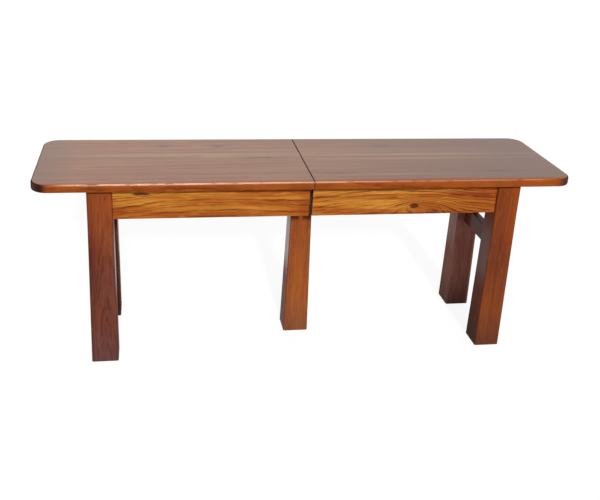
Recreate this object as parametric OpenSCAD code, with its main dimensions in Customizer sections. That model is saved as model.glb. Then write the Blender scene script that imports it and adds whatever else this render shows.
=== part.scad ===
// Extendable bench: two halves on four corner legs draw apart on wooden slides over a centre leg.
// Origin on the floor under the middle of the seam, +X along the bench, +Y to the back, +Z up.
// The left half is the right half turned half a turn about Z, except for the pins at the seam.

/* [Bench] */
// Length of the closed bench
bench_l = 1240; // [1160:10:1500]
// Depth of the seat from front to back
bench_d = 322; // [312:2:380]
// Height of the seat above the floor
bench_h = 457; // [420:1:520]
// How far each half slides out from the middle
travel = 305; // [150:5:305]

/* [Seat boards] */
// Thickness of the seat boards
top_t = 19; // [17:1:26]
// Radius of the outer corners seen from above
corner_r = 38; // [20:1:60]
// Radius of the round-over along the upper edges
edge_r = 5; // [2:0.5:8]
// Radius along the lower edges
under_r = 2; // [1:0.5:4]
// Gap between the two halves at the seam
seam_gap = 0.6; // [0.4:0.1:2]
// Width of the bevel along the seam
seam_bevel = 1.2; // [0.5:0.1:3]
// Diameter of the alignment pins
pin_d = 8; // [6:1:10]
// How far an alignment pin stands out of the left half
pin_reach = 14; // [8:1:24]
// Distance between neighbouring alignment pins
pin_pitch = 100; // [60:5:120]

/* [Corner legs] */
// Distance from the end of the seat to a leg
end_overhang = 117; // [90:1:125]
// Distance from the front of the seat to a leg
side_overhang = 25; // [15:1:30]
// Width of a leg at the aprons
leg_w = 56; // [50:1:62]
// How far each side of a leg has flared out at the floor
leg_flare = 3; // [0:0.5:8]
// Radius along the edges of a leg
leg_edge_r = 2.5; // [1:0.5:5]

/* [Centre leg] */
// Width of the centre leg's head
mid_head_w = 50; // [44:1:60]
// Width of the centre leg's foot
mid_foot_w = 62; // [44:1:80]
// Thickness of the block between the centre leg and the slides
mid_block_t = 28; // [24:1:36]
// Length of that block along the bench
mid_block_l = 120; // [100:5:200]

/* [Aprons and end rails] */
// Height of the aprons
apron_h = 76; // [72:1:100]
// Thickness of the aprons
apron_t = 20; // [18:1:22]
// How far an apron lies behind the face of the legs
apron_setback = 6; // [2:0.5:8]
// Distance from the seam to the end of an apron
apron_gap = 4; // [2:0.5:6]
// Radius along the long edges of aprons and end rails
board_edge_r = 1.5; // [0.5:0.5:3]
// Height of an end rail
end_rail_h = 43; // [36:1:60]
// Thickness of an end rail
end_rail_t = 19; // [16:1:26]
// Height of the top of an end rail above the floor
end_rail_top = 292; // [150:2:310]
// Length of an end rail's tenons
tenon_l = 20; // [12:1:30]
// Shoulder around an end rail's tenons
tenon_shoulder = 5; // [3:0.5:6]

/* [Corner blocks] */
// Thickness of the corner blocks
corner_block_t = 19; // [16:1:24]
// Height of the corner blocks
corner_block_h = 56; // [48:1:60]
// Cut across the inner corner of a leg that the corner block seats on
corner_cut = 10; // [7:0.5:12]
// Diameter of the hanger bolts
hanger_d = 8; // [6:1:10]
// Length of a hanger bolt inside the leg
hanger_grip = 32; // [24:1:36]

/* [Slides] */
// Width of each rail of the slides
slide_w = 18; // [17:1:20]
// Height of the side rails
slide_h = 44; // [40:1:48]
// Length of the centre rails beyond the end of a side rail
slide_spare = 40; // [20:5:50]
// Sideways gap between neighbouring rails
slide_gap = 0.6; // [0.4:0.1:1]
// Depth of the dovetail tongues
tongue_d = 6; // [5:0.5:7]
// Height of a tongue at its root
tongue_root = 10; // [8:1:12]
// Height of a tongue at its tip
tongue_tip = 16; // [12:1:18]
// Running clearance around a tongue
tongue_fit = 0.4; // [0.3:0.05:0.6]
// Clearance of a moving rail under the seat board and over the centre block
slide_clear = 1.2; // [0.6:0.1:2]
// Diameter of the stop pins
stop_d = 5; // [4:0.5:6]

/* [Equalizer] */
// Module of the gear teeth
gear_m = 2; // [1.5:0.25:2]
// Number of teeth on the pinion
gear_teeth = 18; // [18:1:20]
// Play between the flanks in mesh, taken off the pinion's teeth
gear_play = 0.3; // [0.2:0.05:0.5]
// Height of the pinion
gear_h = 10; // [8:1:14]
// Thickness of a rack behind its teeth
rack_back = 6.5; // [5:0.5:8]
// Diameter of the journal that the pinion turns on
journal_d = 8; // [6:1:10]

/* [Seam locks] */
// Distance from the seam to a lock's pivot
lock_pivot_x = 24; // [20:1:28]
// Distance from the seam to a lock's stud
lock_stud_x = 14; // [12:1:16]
// Distance of pivot and stud below the seat boards
lock_drop = 26; // [22:1:28]
// Diameter of a lock's pivot
lock_pivot_d = 7; // [6:0.5:8]
// Diameter of a lock's stud
lock_stud_d = 6; // [5:0.5:7]
// Thickness of a lock's hook
lock_hook_t = 4; // [3:0.5:5]
// Thickness of the lock plates
lock_plate_t = 2.5; // [2:0.5:3]

/* [Fasteners] */
// Diameter of the wood screws
screw_d = 4; // [3:0.5:5]
// Diameter of the small screws of racks and locks
small_screw_d = 3; // [2.5:0.5:3.5]
// Clearance around a screw in its hole, on the radius
screw_fit = 0.1; // [0.05:0.05:0.3]
// Tilt of the pocket screws
pocket_tilt = 15; // [10:1:20]

/* [Hidden] */
$fn = 48;
eps = 0.01;
cut = 1;
under_z = bench_h - top_t;
apron_z = under_z - apron_h;
half_l = bench_l / 2;
half_d = bench_d / 2;
seam_x = seam_gap / 2;
pin_hole_fit = 0.3;
pin_end = 2;

// Corner leg of the right back corner, and the aprons that meet it
leg_x1 = half_l - end_overhang;
leg_x0 = leg_x1 - leg_w;
leg_y1 = half_d - side_overhang;
leg_y0 = leg_y1 - leg_w;
leg_xm = (leg_x0 + leg_x1) / 2;
foot_bevel = 1.5;
apron_y1 = leg_y1 - apron_setback;
apron_y0 = apron_y1 - apron_t;
apron_x1 = leg_x1 - apron_setback;
apron_x0 = apron_x1 - apron_t;
apron_ym = (apron_y0 + apron_y1) / 2;
apron_xm = (apron_x0 + apron_x1) / 2;

// End rail: its shoulders follow the flare of the legs
end_rail_z = end_rail_top - end_rail_h;
function leg_face(z) = leg_y0 - leg_flare * (apron_z - z) / (apron_z - foot_bevel);
tenon_end = leg_face(end_rail_top) + tenon_l;
tenon_t = end_rail_t - 2 * tenon_shoulder;
tenon_h = end_rail_h - 2 * tenon_shoulder;
glue_gap = 0.1;

// Corner block: a strip across the corner whose outer face lies on the leg's cut
cut_sum = leg_x0 + leg_y0 + corner_cut;
cut_x = leg_x0 + corner_cut / 2;
cut_y = leg_y0 + corner_cut / 2;
block_sum = cut_sum - corner_block_t * sqrt(2);
corner_block_drop = 4;
corner_block_z = under_z - corner_block_drop - corner_block_h;
corner_bolt_z = corner_block_z + corner_block_h / 2;
corner_screw_rise = corner_block_h / 4;
corner_screw_seat = 9;
corner_screw_l = 22;
corner_screw_x = (cut_sum + block_sum) / 2 - apron_y0;
corner_screw_y = (cut_sum + block_sum) / 2 - apron_x0;
washer_t = 2;
washer_d = 22;
nut_h = 6.5;
nut_af = 13;
hanger_end = 3;
hanger_fit = 0.05;
hanger_slack = 0.5;
washer_fit = 0.25;

// Gearing: the racks reach far enough for the whole travel, and the side rails carry them
gear_pressure = 20;
gear_pitch = PI * gear_m;
gear_r = gear_m * gear_teeth / 2;
gear_base_r = gear_r * cos(gear_pressure);
gear_tip_r = gear_r + 0.95 * gear_m;
rack_root = 1.25 * gear_m;
gear_root_r = gear_r - rack_root;
rack_land = 12;
rack_teeth_in = 3 * gear_pitch;
rack_teeth_out = (floor(travel / gear_pitch) + 3) * gear_pitch;
rail_end = 8;

// Slides: rails side by side across Y, the same at the back and, turned round, at the front
slide_reach = rack_teeth_out + rack_land + rail_end;
slide_half = slide_reach + slide_spare;
slide_z = under_z - slide_h;
centre_z = slide_z - slide_clear;
slide_top = under_z - slide_clear;
tongue_z = (centre_z + slide_top) / 2;
tongue_slope = (tongue_tip - tongue_root) / 2 / tongue_d;
inner_y = gear_r + rack_root + rack_back;
centre_y = inner_y + slide_w + slide_gap;
outer_y = centre_y + slide_w + slide_gap;
right_rail_y = [outer_y, -inner_y - slide_w];
web_y = (tongue_d - slide_gap + tongue_fit + slide_w) / 2;
rail_start = 2;
full_rail_x = seam_x + rail_start;
slide_screw_l = 40;
slide_screw_grip = 12;
slide_screw_seat = under_z + slide_screw_grip - slide_screw_l;
slide_screw_x = [for (k = [0:3]) slide_half * (k + 0.5) / 4];
stop_edge = 15;
stop_x = stop_edge - slide_reach;
stop_z = (tongue_z + tongue_tip / 2 + slide_top) / 2;
stop_reach = 4;
stop_slack = 1;
stop_side = 0.5;

// Centre block, between the centre rails and the head of the centre leg
mid_block_z = centre_z - mid_block_t;
mid_block_ledge = 2;
mid_block_y = centre_y + slide_w + mid_block_ledge;
mid_screw_x = [for (k = [-1:1]) k * mid_block_l * 3 / 8];
mid_screw_l = 45;
lag_d = 6.5;
lag_l = 63;
lag_head_d = 11;
lag_head_h = 5;
lag_sink = 7;
lag_at = 0.3 * mid_head_w;
lag_socket = 1;

// Equalizer: pinion and racks at the height of the tongues
gear_z = tongue_z - gear_h / 2;
rack_over = 1;
rack_h = gear_h + 2 * rack_over;
rack_z = tongue_z - rack_h / 2;
rack_screw_l = 12;
journal_fit = 0.06;
post_flange_d = 24;
post_flange_h = 3;
post_shoulder_d = 14;
post_thread_d = 6;
post_thread_l = 20;
journal_tip = 1;
clip_t = 1;
clip_d = 13;
clip_neck = 0.7;
clip_fit = 0.1;
end_play = 0.3;
flank_steps = 5;
flank_r = [for (k = [0:flank_steps])
    gear_base_r + (gear_tip_r - gear_base_r) * k / flank_steps];

// Locks: swing hooks on the inner faces of the aprons
lock_z = under_z - lock_drop;
lock_gap = 0.3;
lock_r = lock_pivot_x + lock_stud_x;
lock_slot = lock_stud_d / 2 + lock_gap;
lock_hub = 4.5;
lock_jaw = 5;
lock_lead = 13;
lock_trail = 26;
lock_pivot_fit = 0.08;
lock_head_t = 2;
lock_head_rim = 2;
lock_plate_edge = 2;
lock_plate_x = apron_gap + lock_plate_edge;
lock_plate_h = 24;
lock_plate_r = 3;
lock_plate_l = 2 * (lock_pivot_x - lock_plate_x);
lock_keeper_l = 28;
lock_post_l = lock_plate_t + 2 * lock_gap + lock_hook_t;
lock_screw_l = 14;
lock_screw_edge = 6;
lock_tab_l = 12;
lock_tab_t = 3;
lock_edge = 1;

// Screws: heads as multiples of the shank, pocket screws along the aprons
pan_head_h = 0.6;
pan_head_d = 2.1;
pocket_seat = 20;
pocket_sink = 60;
pocket_screw_l = 32;
pocket_screw_x = [for (k = [0:2]) apron_gap + (leg_x0 - apron_gap) * (k + 0.5) / 3];
pocket_screw_y = leg_y0 / 4;

// Colours as the photograph shows them: stained oak, plain hardwood inside, steel and brass
oak_top = "#8f6247";
oak_apron = "#b8692b";
oak_leg = "#8c4422";
inner_wood = "#c39a62";
steel = "#9a9da0";
brass = "#b8963e";

// Placing helpers

// A flat shape in Y and Z drawn out along X from x0 to x1
module along_x(x0, x1) {
    translate([x0, 0, 0]) rotate([90, 0, 90]) linear_extrude(x1 - x0) children();
}

// A flat shape in X and Z drawn out along Y from y0 to y1
module along_y(y0, y1) {
    translate([0, y1, 0]) rotate([90, 0, 0]) linear_extrude(y1 - y0) children();
}

// The same thing at the back and, mirrored, at the front
module back_and_front() {
    children();
    mirror([0, 1, 0]) children();
}

// The left half's copy of a thing on the right half
module turned() {
    rotate([0, 0, 180]) children();
}

// Rectangle from the origin with round corners
module round_rect(w, h, r) {
    translate([r, 0]) square([w - 2 * r, h]);
    translate([0, r]) square([w, h - 2 * r]);
    for (x = [r, w - r], y = [r, h - r]) translate([x, y]) circle(r);
}

// Square about the origin with round corners
module round_square(w, r) {
    translate([-w / 2, -w / 2]) round_rect(w, w, r);
}

// Fasteners: the seat of the head is at the origin and the shank runs down

module pan_screw(d, length) {
    cylinder(h = pan_head_h * d, d = pan_head_d * d);
    translate([0, 0, d - length]) cylinder(h = length - d, d = d);
    translate([0, 0, -length]) cylinder(h = d, d1 = d / 5, d2 = d);
}

module pan_screw_hole(d, length, sink) {
    translate([0, 0, -length - screw_fit]) cylinder(h = length + cut, d = d + 2 * screw_fit);
    cylinder(h = sink, d = pan_head_d * d + 6 * screw_fit);
}

module flat_screw(d, length) {
    translate([0, 0, -d / 2]) cylinder(h = d / 2, d1 = d, d2 = 2 * d);
    translate([0, 0, d - length]) cylinder(h = length - 1.5 * d, d = d);
    translate([0, 0, -length]) cylinder(h = d, d1 = d / 5, d2 = d);
}

module flat_screw_hole(d, length) {
    translate([0, 0, -length - screw_fit]) cylinder(h = length + cut, d = d + 2 * screw_fit);
    translate([0, 0, -d / 2 - screw_fit])
        cylinder(h = d / 2 + screw_fit + eps, d1 = d, d2 = 2 * d + 2 * screw_fit);
}

// Seat boards

// Section through the rounded edge of a seat board, w deep
module board_edge(w) {
    square([w - edge_r, top_t]);
    square([w - under_r, top_t - edge_r]);
    translate([0, under_r]) square([w, top_t - edge_r - under_r]);
    translate([w - edge_r, top_t - edge_r]) circle(edge_r);
    translate([w - under_r, under_r]) circle(under_r);
}

// Right half of the seat, without its holes
module half_board() {
    difference() {
        translate([0, 0, under_z]) {
            along_x(seam_x, half_l - corner_r) {
                board_edge(half_d);
                mirror([1, 0]) board_edge(half_d);
            }
            along_y(-half_d + corner_r, half_d - corner_r)
                translate([half_l - corner_r, 0]) board_edge(corner_r);
            back_and_front()
                translate([half_l - corner_r, half_d - corner_r, 0])
                    rotate_extrude(angle = 90) board_edge(corner_r);
        }
        translate([seam_x, 0, bench_h]) rotate([0, 45, 0])
            cube([seam_bevel * sqrt(2), bench_d + cut, seam_bevel * sqrt(2)], center = true);
    }
}

// Right half with the holes of the screws that hold slides and aprons to it
module drilled_board() {
    difference() {
        half_board();
        slide_screw_places() pan_screw_hole(screw_d, slide_screw_l, 1);
        pocket_screw_places() pan_screw_hole(screw_d, pocket_screw_l, 1);
    }
}

// Alignment pins along the seam, from x0 to x1
module seam_pin_row(x0, x1, d) {
    for (k = [-1:1])
        translate([x0, k * pin_pitch, under_z + top_t / 2])
            rotate([0, 90, 0]) cylinder(h = x1 - x0, d = d);
}

module top_right() {
    color(oak_top) difference() {
        drilled_board();
        seam_pin_row(0, pin_reach + pin_end, pin_d + 2 * pin_hole_fit);
    }
}

module top_left() {
    color(oak_top) difference() {
        turned() drilled_board();
        seam_pin_row(-pin_reach - pin_end - screw_fit, 0, pin_d + 2 * screw_fit);
    }
}

module seam_pins() {
    color(inner_wood) seam_pin_row(-pin_reach - pin_end, pin_reach, pin_d);
}

// Corner legs

// Right back leg: square at the aprons, flaring to the floor, its inner corner cut for the block
module corner_leg() {
    foot_w = leg_w + 2 * leg_flare;
    translate([leg_xm, (leg_y0 + leg_y1) / 2, 0]) difference() {
        union() {
            hull() {
                linear_extrude(eps) round_square(foot_w - 2 * foot_bevel, leg_edge_r);
                translate([0, 0, foot_bevel]) linear_extrude(eps) round_square(foot_w, leg_edge_r);
                translate([0, 0, apron_z - eps]) linear_extrude(eps) round_square(leg_w, leg_edge_r);
            }
            translate([0, 0, apron_z - eps]) linear_extrude(apron_h + eps)
                round_square(leg_w, leg_edge_r);
        }
        translate([-leg_w / 2, -leg_w / 2, apron_z]) rotate([0, 0, 45])
            translate([0, 0, apron_h / 2])
                cube([corner_cut * sqrt(2), corner_cut * sqrt(2), apron_h + cut], center = true);
    }
}

module drilled_leg() {
    difference() {
        corner_leg();
        hanger_place() translate([0, 0, -hanger_grip - cut])
            cylinder(h = hanger_grip + 2 * cut, d = hanger_d + 2 * hanger_fit);
        translate([leg_xm - tenon_t / 2 - glue_gap, 0, end_rail_z + tenon_shoulder - glue_gap])
            cube([tenon_t + 2 * glue_gap, tenon_end + glue_gap, tenon_h + 2 * glue_gap]);
    }
}

module leg_back_right() { color(oak_leg) drilled_leg(); }
module leg_front_right() { color(oak_leg) mirror([0, 1, 0]) drilled_leg(); }
module leg_front_left() { color(oak_leg) turned() drilled_leg(); }
module leg_back_left() { color(oak_leg) turned() mirror([0, 1, 0]) drilled_leg(); }

// Aprons and end rails

// Back apron of the right half
module side_apron() {
    difference() {
        along_x(apron_gap, leg_x0) translate([apron_y0, apron_z])
            round_rect(apron_t, apron_h, board_edge_r);
        pocket_screw_places() pan_screw_hole(screw_d, pocket_screw_l, pocket_sink);
        corner_screw_places() pan_screw_hole(screw_d, corner_screw_l, 1);
    }
}

module apron_back_right() {
    color(oak_apron) difference() {
        side_apron();
        lock_plate_screws() flat_screw_hole(small_screw_d, lock_screw_l);
    }
}

module apron_front_right() {
    color(oak_apron) difference() {
        mirror([0, 1, 0]) side_apron();
        turned() lock_keeper_screws() flat_screw_hole(small_screw_d, lock_screw_l);
    }
}

module apron_front_left() { turned() apron_back_right(); }
module apron_back_left() { turned() apron_front_right(); }

module apron_end_right() {
    color(oak_apron) difference() {
        along_y(-leg_y0, leg_y0) translate([apron_x0, apron_z])
            round_rect(apron_t, apron_h, board_edge_r);
        pocket_screw_places() pan_screw_hole(screw_d, pocket_screw_l, pocket_sink);
        corner_screw_places() pan_screw_hole(screw_d, corner_screw_l, 1);
    }
}

module apron_end_left() { turned() apron_end_right(); }

// End rail with a tenon at each end
module end_rail_right() {
    y_low = leg_face(end_rail_z);
    y_high = leg_face(end_rail_top);
    color(oak_leg) {
        intersection() {
            along_y(-y_high, y_high) translate([leg_xm - end_rail_t / 2, end_rail_z])
                round_rect(end_rail_t, end_rail_h, board_edge_r);
            along_x(leg_xm - end_rail_t, leg_xm + end_rail_t) polygon([
                [-y_low, end_rail_z], [y_low, end_rail_z], [y_high, end_rail_top], [-y_high, end_rail_top]
            ]);
        }
        translate([leg_xm - tenon_t / 2, -tenon_end, end_rail_z + tenon_shoulder])
            cube([tenon_t, 2 * tenon_end, tenon_h]);
    }
}

module end_rail_left() { turned() end_rail_right(); }

// Pocket screws from the aprons into the seat board

// Pocket at the origin, the middle of the top edge of a board whose face looks along +Y
module pocket() {
    rotate([180 - pocket_tilt, 0, 0]) translate([0, 0, pocket_seat]) children();
}

// All pocket screws of the right half
module pocket_screw_places() {
    back_and_front() {
        for (x = pocket_screw_x) translate([x, apron_ym, under_z]) pocket() children();
        translate([apron_xm, pocket_screw_y, under_z]) rotate([0, 0, -90]) pocket() children();
    }
}

module apron_screws_right() {
    color(steel) pocket_screw_places() pan_screw(screw_d, pocket_screw_l);
}

module apron_screws_left() { turned() apron_screws_right(); }

// Corner blocks

// Right back block: a strip across the corner, mitred against both aprons
module corner_block() {
    color(inner_wood) difference() {
        translate([0, 0, corner_block_z]) linear_extrude(corner_block_h) polygon([
            [cut_sum - apron_y0, apron_y0], [apron_x0, cut_sum - apron_x0],
            [apron_x0, block_sum - apron_x0], [block_sum - apron_y0, apron_y0]
        ]);
        hanger_place() translate([0, 0, -cut])
            cylinder(h = corner_block_t + 2 * cut, d = hanger_d + 2 * hanger_slack);
        corner_screw_places() pan_screw_hole(screw_d, corner_screw_l, corner_block_t * 2);
    }
}

module corner_block_back_right() { corner_block(); }
module corner_block_front_right() { mirror([0, 1, 0]) corner_block(); }
module corner_block_front_left() { turned() corner_block(); }
module corner_block_back_left() { turned() mirror([0, 1, 0]) corner_block(); }

// Origin on the leg's cut, +Z square to it and away from the leg
module hanger_place() {
    translate([cut_x, cut_y, corner_bolt_z]) rotate([0, 90, 225]) children();
}

module hanger_bolts_right() {
    color(steel) back_and_front() hanger_place() translate([0, 0, -hanger_grip])
        cylinder(h = hanger_grip + corner_block_t + washer_t + nut_h + hanger_end, d = hanger_d);
}

module hanger_washers_right() {
    color(steel) back_and_front() hanger_place() translate([0, 0, corner_block_t]) difference() {
        cylinder(h = washer_t, d = washer_d);
        translate([0, 0, -cut]) cylinder(h = washer_t + 2 * cut, d = hanger_d + 2 * washer_fit);
    }
}

module hanger_nuts_right() {
    color(steel) back_and_front() hanger_place()
        translate([0, 0, corner_block_t + washer_t]) difference() {
            cylinder(h = nut_h, d = nut_af / cos(30), $fn = 6);
            translate([0, 0, -cut]) cylinder(h = nut_h + 2 * cut, d = hanger_d + 2 * hanger_fit);
        }
}

module hanger_bolts_left() { turned() hanger_bolts_right(); }
module hanger_washers_left() { turned() hanger_washers_right(); }
module hanger_nuts_left() { turned() hanger_nuts_right(); }

// Screws of the right half's corner blocks, two into each apron
module corner_screw_places() {
    back_and_front() for (rise = [-corner_screw_rise, corner_screw_rise]) {
        translate([corner_screw_x, apron_y0 - corner_screw_seat, corner_bolt_z + rise])
            rotate([90, 0, 0]) children();
        translate([apron_x0 - corner_screw_seat, corner_screw_y, corner_bolt_z + rise])
            rotate([0, -90, 0]) children();
    }
}

module corner_screws_right() {
    color(steel) corner_screw_places() pan_screw(screw_d, corner_screw_l);
}

module corner_screws_left() { turned() corner_screws_right(); }

// Slides

// Corners of a dovetail that reaches into -Y from a face at y = 0, wider by c all round
function dovetail(c) = [
    [0, tongue_z - tongue_root / 2 - c],
    [-tongue_d - c, tongue_z - tongue_tip / 2 - c - c * tongue_slope],
    [-tongue_d - c, tongue_z + tongue_tip / 2 + c + c * tongue_slope],
    [0, tongue_z + tongue_root / 2 + c]
];

// Section of a side rail up to height z1, with the groove in its face at y = 0
module side_section(z1) {
    difference() {
        translate([0, slide_z]) square([slide_w, z1 - slide_z]);
        mirror([1, 0]) translate([slide_gap, 0]) polygon(dovetail(tongue_fit));
    }
}

// Section of a centre rail, a tongue on both faces
module centre_section() {
    polygon(concat(
        [[0, centre_z]],
        dovetail(0),
        [[0, slide_top], [slide_w, slide_top]],
        [for (p = dovetail(0)) [slide_w - p[0], 2 * tongue_z - p[1]]],
        [[slide_w, centre_z]]
    ));
}

// Side rail of the right half: full height under its own half, lower where it runs free
module side_rail(y) {
    difference() {
        translate([0, y, 0]) {
            along_x(full_rail_x, slide_half) side_section(under_z);
            along_x(-slide_reach, full_rail_x + eps) side_section(slide_top);
        }
        slide_screw_places() pan_screw_hole(screw_d, slide_screw_l, slide_h);
        stop_pin(y, screw_fit);
        if (y < 0) rack_screw_places() flat_screw_hole(small_screw_d, rack_screw_l);
    }
}

module slide_right_back() { color(inner_wood) side_rail(right_rail_y[0]); }
module slide_right_front() { color(inner_wood) side_rail(right_rail_y[1]); }
module slide_left_front() { turned() slide_right_back(); }
module slide_left_back() { turned() slide_right_front(); }

// Slot that a stop pin of the right half runs in, cut into the centre rail that lies at y
module stop_slot(y) {
    run = stop_d / 2 + stop_slack;
    translate([stop_x - run, y + slide_w - stop_reach - stop_side, stop_z - stop_d / 2 - stop_side])
        cube([travel + 2 * run, stop_reach + stop_side + cut, stop_d + 2 * stop_side]);
}

// Back centre rail; the front one is the same turned round
module slide_centre_back() {
    color(inner_wood) difference() {
        translate([0, centre_y, 0]) along_x(-slide_half, slide_half) centre_section();
        stop_slot(centre_y);
        turned() stop_slot(-centre_y - slide_w);
        centre_screw_places() flat_screw_hole(screw_d, mid_screw_l);
    }
}

module slide_centre_front() { turned() slide_centre_back(); }

// Screws that hold the right half's side rails to its seat board
module slide_screw_places() {
    for (y = right_rail_y, x = slide_screw_x)
        translate([x, y + web_y, slide_screw_seat]) rotate([180, 0, 0]) children();
}

module slide_screws_right() {
    color(steel) slide_screw_places() pan_screw(screw_d, slide_screw_l);
}

module slide_screws_left() { turned() slide_screws_right(); }

// Stop pin through the free end of the side rail at y, grown by c in its hole
module stop_pin(y, c) {
    translate([stop_x, y - slide_gap - stop_reach, stop_z]) rotate([-90, 0, 0])
        cylinder(h = stop_reach + slide_gap + slide_w + c, d = stop_d + 2 * c);
}

module stop_pins_right() {
    color(steel) for (y = right_rail_y) stop_pin(y, 0);
}

module stop_pins_left() { turned() stop_pins_right(); }

// Centre leg and block

module centre_leg() {
    color(oak_leg) difference() {
        hull() {
            linear_extrude(eps) round_square(mid_foot_w - 2 * foot_bevel, leg_edge_r);
            translate([0, 0, foot_bevel]) linear_extrude(eps) round_square(mid_foot_w, leg_edge_r);
            translate([0, 0, mid_block_z - eps]) linear_extrude(eps)
                round_square(mid_head_w, leg_edge_r);
        }
        lag_places() lag_hole();
    }
}

module centre_block() {
    color(inner_wood) difference() {
        along_x(-mid_block_l / 2, mid_block_l / 2) translate([-mid_block_y, mid_block_z])
            round_rect(2 * mid_block_y, mid_block_t, board_edge_r);
        lag_places() lag_hole();
        centre_screw_places() flat_screw_hole(screw_d, mid_screw_l);
        translate([0, 0, centre_z - post_thread_l - cut])
            cylinder(h = post_thread_l + 2 * cut, d = post_thread_d + 2 * screw_fit);
    }
}

// Lag screws from the top of the block into the head of the leg
module lag_places() {
    for (s = [-1, 1]) translate([s * lag_at, s * lag_at, centre_z - lag_sink]) children();
}

module lag_hole() {
    translate([0, 0, -lag_l - cut]) cylinder(h = lag_l + 2 * cut, d = lag_d + 2 * screw_fit);
    cylinder(h = lag_sink + cut, d = lag_head_d / cos(30) + 2 * lag_socket);
}

module centre_leg_lags() {
    color(steel) lag_places() {
        cylinder(h = lag_head_h, d = lag_head_d / cos(30), $fn = 6);
        translate([0, 0, lag_d - lag_l]) cylinder(h = lag_l - lag_d, d = lag_d);
        translate([0, 0, -lag_l]) cylinder(h = lag_d, d1 = lag_d / 5, d2 = lag_d);
    }
}

// Screws from under the block into the centre rails
module centre_screw_places() {
    for (y = [-centre_y - slide_w / 2, centre_y + slide_w / 2], x = mid_screw_x)
        translate([x, y, mid_block_z]) rotate([180, 0, 0]) children();
}

module centre_block_screws() {
    color(steel) centre_screw_places() flat_screw(screw_d, mid_screw_l);
}

// Equalizer

function involute(a) = tan(a) * 180 / PI - a;

// Half the angle that a pinion tooth covers at radius r
function tooth_angle(r) =
    90 / gear_teeth - gear_play / 2 / gear_r * 180 / PI
    + involute(gear_pressure) - involute(acos(min(1, gear_base_r / r)));

// Points up one flank of the tooth at angle a and down the other
function tooth_points(a) = concat(
    [[gear_root_r, a - tooth_angle(gear_base_r)]],
    [for (k = [0:flank_steps]) [flank_r[k], a - tooth_angle(flank_r[k])]],
    [for (k = [flank_steps:-1:0]) [flank_r[k], a + tooth_angle(flank_r[k])]],
    [[gear_root_r, a + tooth_angle(gear_base_r)]]
);

module pinion() {
    color(steel) translate([0, 0, gear_z]) difference() {
        linear_extrude(gear_h) polygon([
            for (i = [0:gear_teeth - 1], p = tooth_points(90 + i * 360 / gear_teeth))
                p[0] * [cos(p[1]), sin(p[1])]
        ]);
        translate([0, 0, -cut]) cylinder(h = gear_h + 2 * cut, d = journal_d + 2 * journal_fit);
    }
}

// Post on the centre block: thread, flange, shoulder and journal, turned from one bar
module pinion_post() {
    journal_end = gear_z + gear_h + end_play + clip_t + journal_tip;
    color(steel) {
        translate([0, 0, centre_z - post_thread_l])
            cylinder(h = post_thread_l + eps, d = post_thread_d);
        translate([0, 0, centre_z]) cylinder(h = post_flange_h, d = post_flange_d);
        translate([0, 0, centre_z])
            cylinder(h = gear_z - end_play - centre_z, d = post_shoulder_d);
        difference() {
            translate([0, 0, centre_z]) cylinder(h = journal_end - centre_z, d = journal_d);
            translate([0, 0, gear_z + gear_h + end_play]) difference() {
                cylinder(h = clip_t + clip_fit, d = journal_d + cut);
                translate([0, 0, -cut]) cylinder(h = clip_t + 2 * cut, d = journal_d - 2 * clip_neck);
            }
        }
    }
}

// Retaining clip: a washer open on one side
module pinion_clip() {
    color(steel) translate([0, 0, gear_z + gear_h + end_play]) difference() {
        cylinder(h = clip_t, d = clip_d);
        translate([0, 0, -cut]) cylinder(h = clip_t + 2 * cut, d = journal_d - 2 * clip_neck + 2 * clip_fit);
        translate([0, 2 * clip_neck - journal_d / 2, -cut])
            cube([clip_d, journal_d - 4 * clip_neck, clip_t + 2 * cut]);
    }
}

// Rack of the right half: teeth face the pinion from the front, plain lands at both ends
module rack_right() {
    n = round((rack_teeth_in + rack_teeth_out) / gear_pitch);
    tip = gear_pitch / 4 - gear_m * tan(gear_pressure);
    root = gear_pitch / 4 + rack_root * tan(gear_pressure);
    tooth = [[root, -rack_root], [tip, gear_m], [-tip, gear_m], [-root, -rack_root]];
    x_in = rack_teeth_in + rack_land;
    x_out = -rack_teeth_out - rack_land;
    y_root = -gear_r - rack_root;
    color(steel) difference() {
        translate([0, 0, rack_z]) linear_extrude(rack_h) polygon(concat(
            [[x_in, -inner_y], [x_in, y_root]],
            [for (i = [0:n - 1], p = tooth)
                [rack_teeth_in - (i + 0.5) * gear_pitch + p[0], -gear_r + p[1]]],
            [[x_out, y_root], [x_out, -inner_y]]
        ));
        rack_screw_places() flat_screw_hole(small_screw_d, rack_screw_l);
    }
}

module rack_left() { turned() rack_right(); }

module rack_screw_places() {
    for (x = [rack_teeth_in + rack_land / 2, -rack_teeth_out - rack_land / 2])
        translate([x, -gear_r - rack_root, tongue_z]) rotate([-90, 0, 0]) children();
}

module rack_screws_right() {
    color(steel) rack_screw_places() flat_screw(small_screw_d, rack_screw_l);
}

module rack_screws_left() { turned() rack_screws_right(); }

// Seam locks: plate and hook on the right half at the back, keeper on the left half

// Origin on the apron's inner face at the height of pivot and stud, +Z into the room
module lock_face(x) {
    translate([x, apron_y0, lock_z]) rotate([90, 0, 0]) children();
}

// Post that stands out of a lock plate, with a head that keeps the hook on
module lock_post(d) {
    cylinder(h = lock_post_l + eps, d = d);
    translate([0, 0, lock_post_l]) cylinder(h = lock_head_t, d = d + 2 * lock_head_rim);
}

module lock_plate(l) {
    translate([0, -lock_plate_h / 2, 0]) linear_extrude(lock_plate_t)
        round_rect(l, lock_plate_h, lock_plate_r);
}

module lock_plate_back() {
    color(brass) {
        difference() {
            lock_face(lock_plate_x) lock_plate(lock_plate_l);
            lock_plate_screws() flat_screw_hole(small_screw_d, lock_screw_l);
        }
        lock_face(lock_pivot_x) lock_post(lock_pivot_d);
    }
}

module lock_plate_front() { turned() lock_plate_back(); }

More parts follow.
